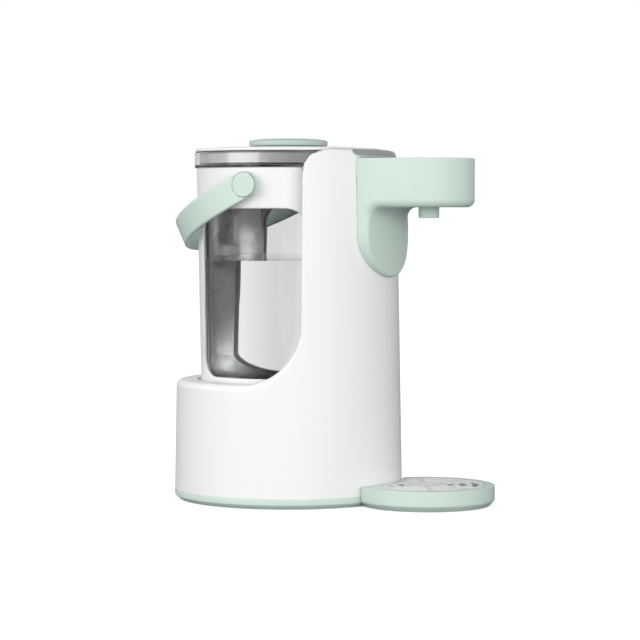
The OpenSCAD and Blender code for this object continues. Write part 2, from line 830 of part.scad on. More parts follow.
module power_inlet() {
    x0 = -sqrt(pow(body_at(inlet_z), 2) - pow(inlet_w / 2, 2));
    color(dark) place() difference() {
        union() {
            box(x0, x0 + inlet_deep, -inlet_w / 2, inlet_w / 2, inlet_z - inlet_h / 2, inlet_z + inlet_h / 2);
            box(x0 + wall + 2, x0 + wall + 4.5, -inlet_w / 2 - 4, inlet_w / 2 + 4,
                inlet_z - inlet_h / 2 - 3, inlet_z + inlet_h / 2 + 3);
        }
        box(-big, x0 + inlet_deep - 3, -12, 12, inlet_z - 8, inlet_z + 8);
        for (y = [-7, 0, 7]) box(x0, x0 + 40, y - 1.2, y + 1.2, inlet_z - 2.2, inlet_z + 2.2);
    }
}

module inlet_pins() {
    x0 = -sqrt(pow(body_at(inlet_z), 2) - pow(inlet_w / 2, 2));
    color(copper) place() for (y = [-7, 0, 7])
        box(x0 + 5, x0 + inlet_deep + 6, y - 1, y + 1, inlet_z - 2, inlet_z + 2);
}

module base_coupler() {
    color(white) place() difference() {
        union() {
            disc(coupler_r, well_floor - floor_t - 6, coupler_top);
            disc(coupler_flange, well_floor - floor_t - 2 - fit_gap, well_floor - floor_t - fit_gap);
        }
        disc(9, coupler_top - 6, coupler_top + 1);
        for (z = [coupler_top - 3, coupler_top - 6])
            tube(coupler_r + 1, coupler_r - ring_t, z, z + 1.5);
    }
}

module contact_rings() {
    color(copper) place() for (z = [coupler_top - 3, coupler_top - 6])
        tube(coupler_r, coupler_r - ring_t, z, z + 1.5);
}

module temperature_probe() {
    head_z = plate_z - seat_gap;
    low = well_floor - floor_t - 4 - seat_gap;
    color(steel) place() translate([probe_x, 0, 0]) union() {
        disc(probe_head_r, head_z - 5, head_z);
        disc(probe_r, low - 1.5, head_z - 1);
        disc(probe_head_r, low - 1.5, low);
    }
}

module probe_spring() {
    color(steel) place() translate([probe_x, 0, 0])
        tube(probe_head_r - 0.1, probe_r + 0.4, probe_boss, plate_z - seat_gap - 5);
}

// Both windows of the jug's frame, with their corners rounded by r and their edges moved out by d
module window_cut(r, d) {
    x0 = -window_r * cos(back_strut) - d;
    x1 = window_r * cos(front_strut) + d;
    z0 = window_z - d;
    z1 = window_top + d;
    for (y = [window_y, -window_y - 60]) translate([0, y + 60, 0]) rotate([90, 0, 0]) linear_extrude(60)
        polygon(concat(
            arc(x1 - r, z1 - r, r, 0, 90, 8), arc(x0 + r, z1 - r, r, 90, 180, 8),
            arc(x0 + r, z0 + r, r, 180, 270, 8), arc(x1 - r, z0 + r, r, 270, 360, 8)
        ));
}

module pivot_holes(r) {
    for (y = [frame_low_r - 10, -frame_low_r - 10]) rod_y(r, y, y + 20, pivot_x, pivot_z);
}

module jug_frame() {
    color(white) place() difference() {
        union() {
            cone_tube(frame_low_r, collar_r, frame_wall, frame_z, collar_z);
            ring_of(3, jug_boss_circle, 90) disc(4, frame_z, plate_z - fit_gap);
            for (a = [90, 210, 330]) rotate(a)
                box(jug_boss_circle, frame_low_r - 1, -1.5, 1.5, frame_z + 1, plate_z - 3);
        }
        window_cut(window_round, 0);
        ring_of(3, jug_boss_circle, 90) disc(pilot_r, 0, plate_z - 2);
        pivot_holes(pin_r + fit_gap);
    }
}

module steel_sleeve() {
    low = plate_z - 2;
    color(steel) place() difference() {
        cone_tube(frame_in(low) - fit_gap, frame_in(collar_z) - fit_gap, sleeve_t, low, collar_z - fit_gap);
        window_cut(window_round - 1, 0.6);
        pivot_holes(pin_r + 1);
    }
}

module glass_vessel() {
    low = vessel_z;
    neck = glass_at(collar_z);
    color(clear) place() rotate_extrude() polygon([
        [glass_at(low) - glass_t, low], [glass_at(low), low], [neck, collar_z + fit_gap],
        [glass_rim_r, collar_z + fit_gap], [glass_rim_r, glass_top], [glass_rim_r - rim_t, glass_top],
        [glass_rim_r - rim_t, collar_z + shoulder_t], [neck - glass_t, collar_z + shoulder_t]
    ]);
}

module heating_plate() {
    r = sleeve_in(plate_z) - fit_gap;
    color(steel) place() difference() {
        disc(r, plate_z, plate_z + heat_t);
        translate([valve_x, valve_y, 0]) disc(valve_r - 1, 0, big);
    }
}

module plate_seal() {
    r = glass_at(vessel_z);
    color(dark) place() tube(r, r - glass_t - 1, plate_z + heat_t, vessel_z);
}

module heating_element() {
    color(steel) place() union() {
        rotate_extrude() translate([element_r, element_z]) circle(r = element_tube);
        for (a = [170, 190]) rotate(a) translate([element_r, 0, 0]) disc(2, element_z - terminal_l, element_z);
    }
}

module jug_base() {
    r = frame_low_r - 0.2;
    floor_h = 2.5;
    color(white) place() difference() {
        union() {
            tube(r, r - 2.5, jug_z, frame_z - fit_gap);
            disc(r, jug_z, jug_z + floor_h);
            ring_of(3, jug_boss_circle, 90) disc(4, jug_z + 1, frame_z - fit_gap);
        }
        ring_of(3, jug_boss_circle, 90) {
            disc(screw_r + screw_gap, 0, big);
            disc(head_screw_r + screw_gap, 0, jug_z + 12);
        }
        disc(coupler_r + 1, 0, big);
        translate([probe_x, 0, 0]) disc(probe_r + 4.5, 0, jug_z + 10);
        translate([valve_x, valve_y, 0]) disc(valve_r + fit_gap, 0, big);
    }
}

module jug_screws() {
    color(steel) place() ring_of(3, jug_boss_circle, 90)
        screw_up(0, 0, jug_z + 12, screw_l + 4);
}

module jug_coupler() {
    low = jug_z + 2.5 + fit_gap;
    color(dark) place() difference() {
        union() {
            disc(coupler_r + 4, low, low + 10);
            disc(coupler_flange - 1, low, low + 2);
        }
        disc(coupler_r + 1, 0, coupler_top + 1.5);
    }
}

module valve_body() {
    color(white) place() translate([valve_x, valve_y, 0]) difference() {
        union() {
            disc(valve_r, valve_low, plate_z - fit_gap);
            disc(valve_r - 1 - fit_gap, plate_z - 1, vessel_z + 1);
            disc(valve_r + 2, plate_z + heat_t + fit_gap, vessel_z + 1);
        }
        disc(valve_bore, 0, valve_seat - 2);
        disc(2.6, 0, big);
        disc(4.8, valve_seat, plate_z + heat_t);
        for (a = [0, 60, 120]) rotate(a) box(-4, 4, -0.8, 0.8, plate_z, big);
    }
}

module valve_plunger() {
    color(dark) place() translate([valve_x, valve_y, 0]) union() {
        disc(4.4, plunger_z, plunger_z + 2.5);
        disc(1.5, spigot_top + seat_gap, plunger_z + 1);
    }
}

module valve_spring() {
    color(steel) place() translate([valve_x, valve_y, 0])
        tube(4, 3.2, plunger_z + 2.5, plate_z + heat_t);
}

module pivot_pins() {
    color(steel) place() for (side = [-1, 1])
        mirror([0, side < 0 ? 1 : 0, 0]) {
            rod_y(pin_r, frame_in(pivot_z) - 0.1, handle_out - 1.5, pivot_x, pivot_z);
            rod_y(pin_r + 3, frame_at(pivot_z + pin_r + 3) + 0.1, handle_in - seat_gap, pivot_x, pivot_z);
        }
}

// The handle's outline lying level behind its pivots, grown by d
module handle_loop(d) {
    r = handle_in + d;
    union() {
        rotate(0) translate([-handle_straight, 0, 0]) intersection() {
            disc(r, -handle_w / 2, handle_w / 2);
            box(-big, eps, -big, big, -big, big);
        }
        box(-handle_straight, 0, -r, r, -handle_w / 2, handle_w / 2);
        rod_y(handle_w / 2, -r, r, 0, 0);
    }
}

module handle() {
    color(mint) place() translate([pivot_x, 0, pivot_z]) rotate([0, -handle_tilt, 0]) difference() {
        handle_loop(handle_t);
        union() {
            translate([-handle_straight, 0, 0]) disc(handle_in, -big, big);
            box(-handle_straight, big, -handle_in, handle_in, -big, big);
        }
        rod_y(pin_r + run_gap, -big, big, 0, 0);
        for (side = [-1, 1]) rod_y(cap_r + run_gap, side > 0 ? handle_out - 1.2 : -big,
            side > 0 ? big : 1.2 - handle_out, 0, 0);
    }
}

module handle_caps() {
    color(mint) place() for (side = [-1, 1]) mirror([0, side < 0 ? 1 : 0, 0])
        rod_y(cap_r, handle_out - 1.2 + eps, handle_out + 0.6, pivot_x, pivot_z);
}

module lid_cover() {
    dome = 0.6;
    color(white) place() difference() {
        rotate_extrude() polygon([
            [0, lid_z], [lid_r - 0.8, lid_z], [lid_r, lid_z + 0.8], [lid_r, lid_z + lid_t - dome - 1.2],
            [lid_r - 1.2, lid_z + lid_t - dome], [knob_r, lid_z + lid_t], [0, lid_z + lid_t]
        ]);
        disc(screw_r + screw_gap, 0, big);
    }
}

module lid_cup() {
    color(steel) place() difference() {
        disc(cup_r, cup_z, lid_z);
        disc(cup_r - cup_t, cup_z + cup_t, lid_z + 1);
    }
}

module lid_seal() {
    color(dark) place() tube(cup_r - 0.6, cup_r - 7, collar_z + shoulder_t + seat_gap, cup_z);
}

module lid_knob() {
    z0 = lid_z + lid_t;
    color(mint) place() difference() {
        rotate_extrude() polygon([
            [0, z0], [18, z0], [18, z0 + 0.8], [knob_r - 2.2, z0 + 0.8], [knob_r, z0 + 2.6],
            [knob_r, z0 + knob_t - 1.4], [knob_r - 1.4, z0 + knob_t - 0.3], [knob_r / 2, z0 + knob_t], [0, z0 + knob_t]
        ]);
        disc(pilot_r, 0, z0 + 5);
    }
}

module knob_screw() {
    color(steel) place() screw_up(0, 0, lid_z, lid_t + 3.5);
}

module tray_outline(r, d, z0, z1) {
    difference() {
        translate([spout_x, 0, 0]) disc(r, z0, z1);
        disc(tray_cut + d, z0 - 1, z1 + 1);
    }
}

module tray_foot_places() {
    for (a = [-tray_foot_turn, 0, tray_foot_turn])
        translate([spout_x, 0, 0]) rotate(a) translate([tray_r - tray_foot_in, 0, 0]) children();
}

module drip_tray() {
    grille_z = tray_h - grille_t - seat_gap;
    color(mint) place() difference() {
        intersection() {
            translate([spout_x, 0, 0]) rotate_extrude() polygon([
                [0, foot_out], [tray_r - tray_chamfer, foot_out], [tray_r, foot_out + tray_chamfer],
                [tray_r, tray_h - 1.2], [tray_r - 1.2, tray_h], [0, tray_h]
            ]);
            tray_outline(tray_r, 0, 0, tray_h);
        }
        tray_outline(bowl_r, 3 + ledge_w, foot_out + 2.5, tray_h + 1);
        tray_outline(bowl_r + ledge_w, 3, grille_z, tray_h + 1);
        tray_foot_places() disc(tray_foot_r + fit_gap, 0, foot_out + 0.8);
    }
}

module tray_feet() {
    color(dark) place() tray_foot_places() disc(tray_foot_r, 0, foot_out + 0.8);
}

module tray_grille() {
    rim = bowl_r + ledge_w - seat_gap;
    color(white) place() difference() {
        tray_outline(rim, 3 + seat_gap, tray_h - grille_t, tray_h);
        intersection() {
            for (r = slot_radii) translate([spout_x, 0, 0]) difference() {
                tube(r + slot_w / 2, r - slot_w / 2, 0, big);
                for (a = [30 : 60 : 330]) rotate(a) box(0, big, -2, 2, -1, big + 1);
            }
            tray_outline(big, 8, 1, big - 1);
        }
        translate([spout_x, 0, 0]) disc(5, 0, big);
    }
}

main_housing();
well_liner();
column_cap();
base_plate();
rubber_feet();
base_screws();
liner_screws();
arm_housing();
arm_cover();
touch_panel();
touch_board();
arm_screws();
nozzle();
delivery_hose();
inlet_hose();
ribbon_cable();
water_port();
port_seal();
pump_body();
pump_rotor();
motor_can();
pump_bracket();
pump_screws();
main_board();
board_screws();
power_inlet();
inlet_pins();
base_coupler();
contact_rings();
temperature_probe();
probe_spring();
jug_frame();
steel_sleeve();
glass_vessel();
heating_plate();
plate_seal();
heating_element();
jug_base();
jug_coupler();
jug_screws();
valve_body();
valve_plunger();
valve_spring();
pivot_pins();
handle();
handle_caps();
lid_cover();
lid_cup();
lid_seal();
lid_knob();
knob_screw();
drip_tray();
tray_feet();
tray_grille();
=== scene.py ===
"""Looks for the formula water dispenser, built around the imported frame.

Lengths are in millimetres about the body's upright axis, with the table at z = 0, unless a comment says
that they are in metres. +x points to the arm and the tray, and the camera stands at -y.
"""
import bmesh
import bpy
import json
import openvdb
import numpy as np
from math import cos, pi, radians, sin
from mathutils import Matrix, Vector


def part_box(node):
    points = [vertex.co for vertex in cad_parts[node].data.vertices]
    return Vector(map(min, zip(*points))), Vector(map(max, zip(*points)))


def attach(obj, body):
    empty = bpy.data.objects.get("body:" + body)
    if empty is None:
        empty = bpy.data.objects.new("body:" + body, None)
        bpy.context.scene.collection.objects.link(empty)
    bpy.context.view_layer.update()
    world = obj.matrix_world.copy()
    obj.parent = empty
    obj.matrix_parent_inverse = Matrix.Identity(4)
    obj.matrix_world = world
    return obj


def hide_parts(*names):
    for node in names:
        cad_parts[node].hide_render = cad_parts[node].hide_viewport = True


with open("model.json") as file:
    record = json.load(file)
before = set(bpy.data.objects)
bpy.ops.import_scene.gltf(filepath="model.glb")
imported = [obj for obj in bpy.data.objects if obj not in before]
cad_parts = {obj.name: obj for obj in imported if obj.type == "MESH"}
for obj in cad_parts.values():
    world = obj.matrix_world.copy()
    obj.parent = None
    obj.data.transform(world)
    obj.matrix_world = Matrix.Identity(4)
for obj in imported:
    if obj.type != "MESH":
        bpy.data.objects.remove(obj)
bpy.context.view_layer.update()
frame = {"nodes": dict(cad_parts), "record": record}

MM = 0.001
foot_low, foot_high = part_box("base_plate")
AXIS_X = (foot_low[0] + foot_high[0]) / 2 / MM      # where the body's axis stands in the frame
BODY = {node: body for body, nodes in frame["record"]["behaviour"]["bodies"].items() for node in nodes}


# Materials
USUAL = (0.3, 0.7)                      # the range that most of a noise lies in
MIX_SHARE, MIX_FIRST, MIX_SECOND, MIX_RESULT = 0, 6, 7, 2       # a colour mix node's sockets


class Nodes:
    """Lays nodes into one tree. A value is a number, a colour or another node's output."""

    def __init__(self, tree):
        self.tree = tree

    def fill(self, socket, value):
        """Sets a socket, or links it to another node's output."""
        if hasattr(value, "node"):
            self.tree.links.new(value, socket)
        else:
            socket.default_value = value

    def add(self, kind, *values, **named):
        """A new node: values fill its first inputs, named ones its properties or inputs."""
        node = self.tree.nodes.new("ShaderNode" + kind)
        for name, value in named.items():
            if hasattr(node, name):
                setattr(node, name, value)
            else:
                self.fill(node.inputs[name.replace("_", " ")], value)
        for socket, value in zip(node.inputs, values):
            self.fill(socket, value)
        return node

    def calculate(self, operation, *values):
        return self.add("Math", *values, operation=operation).outputs[0]

    def grade(self, value, low, high, start=0.0, end=1.0):
        """Goes from low to high while value goes from start to end."""
        node = self.add("MapRange", Value=value, From_Min=start, From_Max=end, To_Min=low, To_Max=high)
        return node.outputs["Result"]

    def ramp(self, value, stops):
        """A colour that changes with value, from the stops (position, colour)."""
        node = self.add("ValToRGB", value)
        elements = node.color_ramp.elements
        while len(elements) < len(stops):
            elements.new(0.5)
        for element, (position, colour) in zip(elements, stops):
            element.position = position
            element.color = colour
        return node.outputs["Color"]

    def ray(self, kind):
        """1 for this kind of ray, 0 for the others."""
        return self.add("LightPath").outputs[kind]


class Look(Nodes):
    """A material for the part, laid out in the object's own coordinates, in metres."""

    def __init__(self, name):
        self.material = bpy.data.materials.new(name)
        self.material.use_nodes = True
        super().__init__(self.material.node_tree)
        self.surface = self.tree.nodes["Principled BSDF"]
        self.place = self.add("TexCoord").outputs["Object"]

    def stretched(self, upright):
        """The place with its height scaled, which draws a noise out into bands."""
        return self.add("Mapping", Vector=self.place, Scale=(1, 1, upright)).outputs["Vector"]

    def noise(self, scale, detail=2.0, place=None, roughness=0.5):
        at = place or self.place
        node = self.add("TexNoise", Vector=at, Scale=scale, Detail=detail, Roughness=roughness)
        return node.outputs["Fac"]

    def vary(self, noise, low, high):
        return self.grade(noise, low, high, *USUAL)

    def mix(self, share, first, second):
        node = self.add("Mix", data_type="RGBA")
        for index, value in ((MIX_SHARE, share), (MIX_FIRST, first), (MIX_SECOND, second)):
            self.fill(node.inputs[index], value)
        return node.outputs[MIX_RESULT]

    def bump(self, height, strength, distance, under=None):
        """Relief on the surface, on top of the relief under it."""
        node = self.add("Bump", Strength=strength, Distance=distance, Height=height)
        if under:
            self.fill(node.inputs["Normal"], under)
        return node.outputs["Normal"]

    def finish(self, **values):
        """Fills the surface's own inputs and gives the material."""
        for name, value in values.items():
            self.fill(self.surface.inputs[name.replace("_", " ")], value)
        return self.material


def linear(*rgb):
    """A linear colour from sRGB bytes."""
    def channel(byte):
        if byte <= 10:
            return byte / 255 / 12.92
        return ((byte / 255 + 0.055) / 1.055) ** 2.4
    return (*map(channel, rgb), 1.0)


def shade(colour, factor):
    """The colour made lighter or darker by a factor."""
    return (*(min(1, part * factor) for part in colour[:3]), 1)


# Where the painted shade on the rounding above the arm lies, in metres: sideways, upright and towards the
# front
ROLL_BESIDE, ROLL_ABOVE, ROLL_FRONT = (0.031, 0.036), (0.2572, 0.2576), (0.020, 0.022)


def roll_shade_mask(look):
    """1 on the column's rounding above the arm, where grey is painted as shade, 0 on the rest of the
    housing.
    """
    at = look.add("SeparateXYZ", look.place).outputs
    beside = look.grade(look.calculate("ABSOLUTE", at["Y"]), 1.0, 0.0, *ROLL_BESIDE)
    above = look.grade(at["Z"], 0.0, 1.0, *ROLL_ABOVE)
    front = look.grade(at["X"], 0.0, 1.0, *ROLL_FRONT)
    return look.calculate("MULTIPLY", look.calculate("MULTIPLY", beside, above), front)


def plastic(name, rgb, roughness, grain, specular, painted_shade=None):
    """Moulded plastic: a fine eroded grain, faint flow in the colour and uneven gloss."""
    look = Look(name)
    base = linear(*rgb)
    flow = look.noise(scale=9, detail=3, place=look.stretched(0.35))
    colour = look.ramp(flow, [(0.3, shade(base, 0.985)), (0.55, base), (0.75, shade(base, 1.012))])
    specks = look.vary(look.noise(scale=2600), 0.0, 0.05)
    colour = look.mix(specks, colour, shade(base, 0.9))
    # painted shade: grey laid over the colour on the rounding above the arm, where the white lies in shade
    if painted_shade:
        colour = look.mix(roll_shade_mask(look), colour, linear(*painted_shade))
    gloss = look.vary(look.noise(scale=38, detail=4), roughness - 0.035, roughness + 0.045)
    fine = look.bump(look.noise(scale=3200), strength=grain, distance=0.00004)
    relief = look.bump(look.noise(scale=16), strength=0.12, distance=0.0003, under=fine)
    return look.finish(Base_Color=colour, Roughness=gloss, Normal=relief, Specular_IOR_Level=specular)


def metal(name, rgb, roughness, lines, streak, depth, scale=60, drawn=0.0):
    """Metal with fine level lines. Where it is drawn, its reflections are stretched one way."""
    look = Look(name)
    base = linear(*rgb)
    grain = look.noise(scale=scale, detail=4, place=look.stretched(lines), roughness=0.65)
    colour = look.ramp(grain, list(zip(USUAL, (shade(base, 0.93), shade(base, 1.03)))))
    gloss = look.vary(grain, roughness * (1 - streak), roughness * (1 + streak))
    relief = look.bump(grain, strength=0.2, distance=depth)
    if drawn:
        round_axis = look.add("Tangent", direction_type="RADIAL", axis="Z").outputs["Tangent"]
        look.finish(Anisotropic=drawn, Tangent=round_axis)
    return look.finish(Base_Color=colour, Metallic=1.0, Roughness=gloss, Normal=relief)


def silicone(name, rgb):
    """Milky silicone tube."""
    look = Look(name)
    base = linear(*rgb)
    colour = look.ramp(look.noise(scale=60, detail=3), list(zip(USUAL, (shade(base, 0.94), base))))
    gloss = look.vary(look.noise(scale=300), 0.3, 0.45)
    relief = look.bump(look.noise(scale=900), strength=0.2, distance=0.00005)
    return look.finish(Base_Color=colour, Roughness=gloss, Transmission_Weight=0.35, Normal=relief)


def circuit(name, fields, tracks):
    """A lacquered circuit board: two near greens between paler tracks."""
    look = Look(name)
    greens = [linear(*rgb) for rgb in fields]
    board = look.add("TexBrick", Vector=look.place, Scale=130.0, Mortar_Size=0.06,
                     Color1=greens[0], Color2=greens[1], Mortar=linear(*tracks))
    gloss = look.vary(look.noise(scale=200), 0.3, 0.42)
    relief = look.bump(board.outputs["Fac"], strength=0.4, distance=0.00004)
    return look.finish(Base_Color=board.outputs["Color"], Roughness=gloss, Normal=relief)


def clear(name, rgb, ior):
    """Glass or water, with a faint smear in its colour and gloss."""
    look = Look(name)
    base = linear(*rgb)
    smear = look.noise(scale=22, detail=3, place=look.stretched(0.5))
    colour = look.ramp(smear, [(0.3, base), (0.8, shade(base, 0.992))])
    gloss = look.vary(smear, 0.0, 0.012)
    relief = look.bump(look.noise(scale=14, detail=1), strength=0.05, distance=0.0002)
    return look.finish(Base_Color=colour, Transmission_Weight=1.0, IOR=ior, Roughness=gloss, Normal=relief)


# The second colour is painted shade: a grey that stands for the shade on the white rounding above the arm
BODY_WHITE, ROLL_PAINTED_SHADE = (243, 243, 242), (176, 180, 179)
WHITE = plastic("white_shell_detail", BODY_WHITE, roughness=0.36, grain=0.10, specular=0.42)
# The housing's white, with grey painted as shade on the rounding above the arm
SHELL_PAINTED_SHADE = plastic("body_shell_painted_shade", BODY_WHITE, roughness=0.36, grain=0.10, specular=0.42, painted_shade=ROLL_PAINTED_SHADE)
WHITE_IN = plastic("white_inner_detail", (236, 237, 236), roughness=0.46, grain=0.2, specular=0.35)
MINT = plastic("mint_shell_detail", (206, 225, 215), roughness=0.42, grain=0.14, specular=0.4)
MINT_DEEP = plastic("mint_knob_detail", (180, 198, 188), roughness=0.42, grain=0.14, specular=0.4)
GREY = plastic("grey_panel_detail", (150, 155, 154), roughness=0.2, grain=0.04, specular=0.5)
PALE = plastic("pale_grille_detail", (234, 236, 233), roughness=0.44, grain=0.16, specular=0.4)
DARK = plastic("dark_plastic_detail", (52, 54, 57), roughness=0.5, grain=0.3, specular=0.4)
RUBBER = plastic("dark_rubber_detail", (38, 38, 40), roughness=0.72, grain=0.5, specular=0.3)
CABLE = plastic("cable_detail", (160, 162, 165), roughness=0.5, grain=0.25, specular=0.4)
POLISHED = metal("polished_steel_detail", (224, 224, 224), roughness=0.17, lines=40, streak=0.3,
                 depth=0.000001, drawn=0.9)
BRUSHED = metal("brushed_steel_detail", (228, 228, 228), roughness=0.5, lines=90, streak=0.15,
                depth=0.000004)
ZINC = metal("fastener_steel_detail", (190, 192, 194), roughness=0.3, lines=3, streak=0.3,
             depth=0.00003, scale=500)
BRASS = metal("contact_metal_detail", (226, 186, 122), roughness=0.25, lines=12, streak=0.3,
              depth=0.00002, scale=300)
GLASS = clear("clear_glass_detail", (254, 254, 254), ior=1.47)
WATER = clear("water_detail", (253, 254, 254), ior=1.333)
SILICONE = silicone("silicone_detail", (228, 230, 226))
BOARD = circuit("circuit_board_detail", fields=((28, 92, 58), (24, 84, 52)), tracks=(62, 132, 92))

LOOKS = {
    "main_housing": SHELL_PAINTED_SHADE, "well_liner": WHITE_IN, "column_cap": GREY, "base_plate": MINT,
    "rubber_feet": RUBBER, "base_screws": ZINC, "liner_screws": ZINC, "arm_housing": MINT,
    "arm_cover": MINT, "touch_panel": GREY, "touch_board": BOARD, "arm_screws": ZINC, "nozzle": MINT,
    "delivery_hose": SILICONE, "inlet_hose": SILICONE, "ribbon_cable": CABLE, "water_port": WHITE_IN,
    "port_seal": RUBBER, "pump_body": DARK, "pump_rotor": ZINC, "motor_can": ZINC, "pump_bracket": DARK,
    "pump_screws": ZINC,
    "main_board": BOARD, "board_screws": ZINC, "power_inlet": DARK, "inlet_pins": BRASS,
    "base_coupler": WHITE_IN, "contact_rings": BRASS, "temperature_probe": ZINC, "probe_spring": ZINC,
    "jug_frame": WHITE, "steel_sleeve": POLISHED, "glass_vessel": GLASS, "heating_plate": POLISHED,
    "plate_seal": RUBBER, "heating_element": ZINC, "jug_base": WHITE_IN, "jug_coupler": DARK,
    "jug_screws": ZINC, "valve_body": WHITE_IN, "valve_plunger": RUBBER, "valve_spring": ZINC,
    "pivot_pins": ZINC, "handle": MINT, "handle_caps": MINT, "lid_cover": WHITE, "lid_cup": BRUSHED,
    "lid_seal": RUBBER, "lid_knob": MINT_DEEP, "knob_screw": ZINC, "drip_tray": MINT, "tray_feet": RUBBER,
    "tray_grille": PALE,
}
for node, look in LOOKS.items():
    part = frame["nodes"][node]
    for slot in part.material_slots:
        slot.material = look
    if not part.material_slots:
        part.data.materials.append(look)


# Meshes
def add_piece(name, mesh, look, node=None, body=None):
    """Puts a mesh into the scene on its body. Where a node is named, the piece stands for it."""
    mesh.materials.append(look)
    piece = bpy.data.objects.new(name, mesh)
    bpy.context.collection.objects.link(piece)
    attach(piece, body or BODY[node])
    if node:
        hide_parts(node)


WELD = 1e-4                             # points closer than this become one
SHARP = radians(32)                     # an edge that turns by more is left sharp


def arc(centre_r, centre_z, radius, start, end, steps):
    """Points of an arc, with its angles in degrees."""
    angles = [radians(start + (end - start) * i / steps) for i in range(steps + 1)]
    return [(centre_r + radius * cos(angle), centre_z + radius * sin(angle)) for angle in angles]


def lathe(name, outline, look, node=None, body=None, segments=160, centre_x=0.0, closed=True):
    """Revolves the outline [(radius, z), ...] about an upright line. One that starts on it isn't closed."""
    bm = bmesh.new()
    rows = []
    for radius, z in outline:
        turns = [2 * pi * i / segments for i in range(segments if radius > 0 else 1)]
        ring = [(centre_x + radius * cos(turn), radius * sin(turn), z) for turn in turns]
        rows.append([bm.verts.new(place) for place in ring])
    if closed:
        rows.append(rows[0])
    for first, second in zip(rows, rows[1:]):
        for i in range(segments):
            j = (i + 1) % segments
            corners = [first[i % len(first)], first[j % len(first)]]
            corners += [second[j % len(second)], second[i % len(second)]]
            bm.faces.new(list(dict.fromkeys(corners)))
    bmesh.ops.remove_doubles(bm, verts=bm.verts, dist=WELD)
    bmesh.ops.recalc_face_normals(bm, faces=bm.faces)
    mesh = bpy.data.meshes.new(name)
    bm.to_mesh(mesh)
    bm.free()
    mesh.transform(Matrix.Translation((AXIS_X * MM, 0, 0)) @ Matrix.Scale(MM, 4))
    mesh.polygons.foreach_set("use_smooth", [True] * len(mesh.polygons))
    mesh.set_sharp_from_angle(angle=SHARP)
    add_piece(name, mesh, look, node, body)


# Fields: each gives about the distance to a surface, negative inside the solid
def reach(p, q):
    """The distance from the line where both are 0."""
    return np.sqrt(p * p + q * q)


def meet(p, q, rounding):
    """Both at once, with the edge between them rounded."""
    past_p, past_q = np.maximum(p + rounding, 0), np.maximum(q + rounding, 0)
    return np.minimum(-rounding, np.maximum(p, q)) + np.sqrt(past_p * past_p + past_q * past_q)


def join(p, q, filling):
    """Either one, with the hollow between them filled."""
    return -meet(-p, -q, filling)


def fade(value, start, end, before=0.0, after=1.0):
    """Goes smoothly from before to after while value goes from start to end."""
    share = np.clip((value - start) / (end - start), 0, 1)
    return before + (after - before) * (share * share * (3 - 2 * share))


PROBE = 0.04                                # how far to each side a field's slope is measured
PULLS = 5                                   # how often the points are pulled on to the surface
FLATTEST = 0.3                              # the squared slope below which a pull is held back
TINY = 1e-9
MARGIN_LOW, MARGIN_HIGH = 2, 2.6            # the grid's room beyond the solid, in cells
FAR_CELLS = 3                               # the value far from the surface, in cells


def slope_of(field, points):
    """The field's steepness along each axis."""
    sides = [field(*(points + side).T) - field(*(points - side).T) for side in np.eye(3) * PROBE]
    return np.stack([difference / (2 * PROBE) for difference in sides], 1)


def solid(name, field, low, high, cell, look, node):
    """Meshes a field between two corners, then pulls every point on to its surface."""
    axes = [np.arange(a - MARGIN_LOW * cell, b + MARGIN_HIGH * cell, cell) for a, b in zip(low, high)]
    volume = openvdb.FloatGrid(FAR_CELLS * cell)
    volume.copyFromArray(field(*np.meshgrid(*axes, indexing="ij")).astype(np.float32))
    points, quads = volume.convertToQuads(0.0)
    points = points.astype(float) * cell + np.array([axis[0] for axis in axes])
    quads = quads.astype(int)
    for _ in range(PULLS):
        slope = slope_of(field, points)
        pull = field(*points.T) / np.maximum((slope * slope).sum(1), FLATTEST)
        points -= np.clip(pull, -cell, cell)[:, None] * slope
    slope = slope_of(field, points)
    normals = slope / np.maximum(np.sqrt((slope * slope).sum(1)), TINY)[:, None]
    corners = points[quads]
    facing = np.cross(corners[:, 2] - corners[:, 0], corners[:, 3] - corners[:, 1])
    if (facing * normals[quads].mean(1)).sum() < 0:
        quads = quads[:, ::-1]
    mesh = bpy.data.meshes.new(name)
    mesh.from_pydata(((points + (AXIS_X, 0, 0)) * MM).tolist(), [], quads.tolist())
    mesh.polygons.foreach_set("use_smooth", [True] * len(mesh.polygons))
    mesh.normals_split_custom_set_from_vertices(normals.tolist())
    add_piece(name, mesh, look, node)


# Body
BODY_R, DRAFT = 86.8, 0.0175            # the radius at the seam and what it loses per millimetre of height
SLANT = 0.99985                         # the draft's cosine
SEAM, RIM, TOP = 8.2, 91.2, 264.2       # heights of the foot ring's top, the tub's rim and the column's top
SKIN = 2.5                              # the white wall's thickness
EDGE, SWEEP, CORNER = 46.4, 43.0, 16.0  # the column's rear edge, the sweep up to it and its top corner
NO_TOP = TOP + 40                       # a height for an outline that is open upwards
WELL_R, WELL_LINER_R = 74.7, 72.7       # the round openings in the shell and in the column's plate
CAP_SEAT_Z = 240                        # above this the shell is open in front, for the plate
TUCK = 1.2                              # how far the shell goes into the foot ring


def skin(x, y, z):
    """The drafted wall of the tub and the column."""
    return (reach(x, y) - BODY_R + DRAFT * (z - SEAM)) * SLANT


def column_side(x, z, inset=0.0, top=TOP):
    """The column's outline from the side: negative in it and below the tub's rim."""
    sweep = SWEEP + inset - reach(x - EDGE + SWEEP, z - RIM - SWEEP)
    low = np.where(x > EDGE - SWEEP, sweep, z - RIM + inset)
    return np.where(z > RIM + SWEEP, meet(EDGE + inset - x, z - top, CORNER - inset), low)


def over_arm(y):
    """1 above the arm, falling to 0 beside it."""
    middle, outer, inner = 4.0, 42.5, 39.5
    return fade(abs(y - middle), outer, inner)


